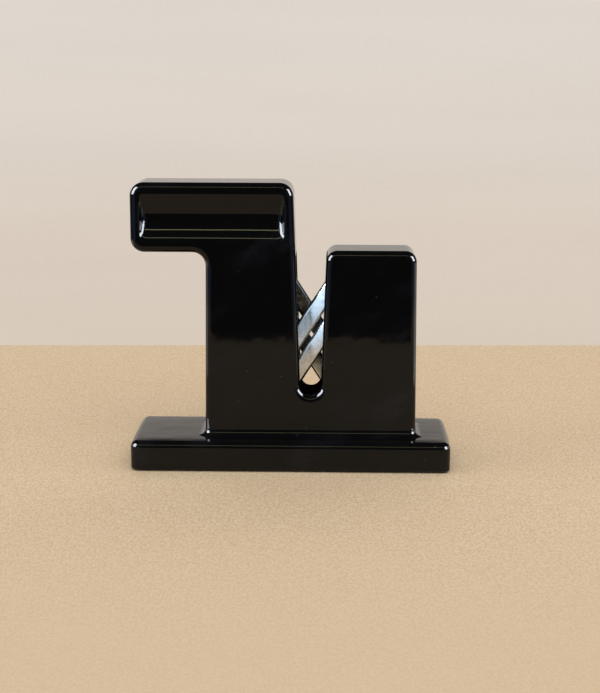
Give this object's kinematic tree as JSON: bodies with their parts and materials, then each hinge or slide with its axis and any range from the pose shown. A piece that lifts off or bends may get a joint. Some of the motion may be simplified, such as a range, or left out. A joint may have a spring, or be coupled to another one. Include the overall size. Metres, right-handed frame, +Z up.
{
  "type": "pull-through knife sharpener",
  "caption": "Upright pull-through knife sharpener: cast enamelled body with a scalloped handle, and crossed sprung steels in an open slot that hone a blade drawn through them.",
  "frame": {"origin": "on the table under the middle of the base", "axes": "+X along the base away from the handle, +Y from the front to the back, +Z up"},
  "size_m": [0.1456, 0.05, 0.1296],
  "materials": {
    "enamel": "gloss black stove enamel",
    "hardened_steel": "satin ground",
    "pin_steel": "bright drawn",
    "spring_steel": "oiled wire",
    "cover_plastic": "fine moulded grain",
    "nylon": "natural",
    "screw_zinc": "zinc plated",
    "foot_rubber": "matt"
  },
  "bodies": {
    "housing_body": {"housing": "enamel", "base_cover": "cover_plastic", "cover_screws": "screw_zinc", "left_pivot_pin": "pin_steel", "left_front_washer": "nylon", "left_rear_washer": "nylon", "left_spacer_sleeve": "nylon", "left_spring_arbor": "nylon", "left_torsion_spring": "spring_steel", "right_pivot_pin": "pin_steel", "right_front_washer": "nylon", "right_rear_washer": "nylon", "right_spacer_sleeve": "nylon", "right_spring_arbor": "nylon", "right_torsion_spring": "spring_steel", "front_left_foot": "foot_rubber", "front_right_foot": "foot_rubber", "rear_left_foot": "foot_rubber", "rear_right_foot": "foot_rubber"},
    "front_steel_body": {"front_steel": "hardened_steel"},
    "rear_steel_body": {"rear_steel": "hardened_steel"}
  },
  "joints": [
    {"name": "front_steel_pivot", "type": "hinge", "parent": "housing_body", "child": "front_steel_body", "pos_m": [-0.01313, 0, 0.02452], "axis": [0, 1, 0], "range_deg": [0, 8], "stiffness_Nm_per_rad": 0.21, "springref_deg": -60.16, "deforming": ["left_torsion_spring"]},
    {"name": "rear_steel_pivot", "type": "hinge", "parent": "housing_body", "child": "rear_steel_body", "pos_m": [0.03093, 0, 0.02452], "axis": [0, -1, 0], "range_deg": [0, 8], "stiffness_Nm_per_rad": 0.21, "springref_deg": -60.16, "deforming": ["right_torsion_spring"]}
  ]
}
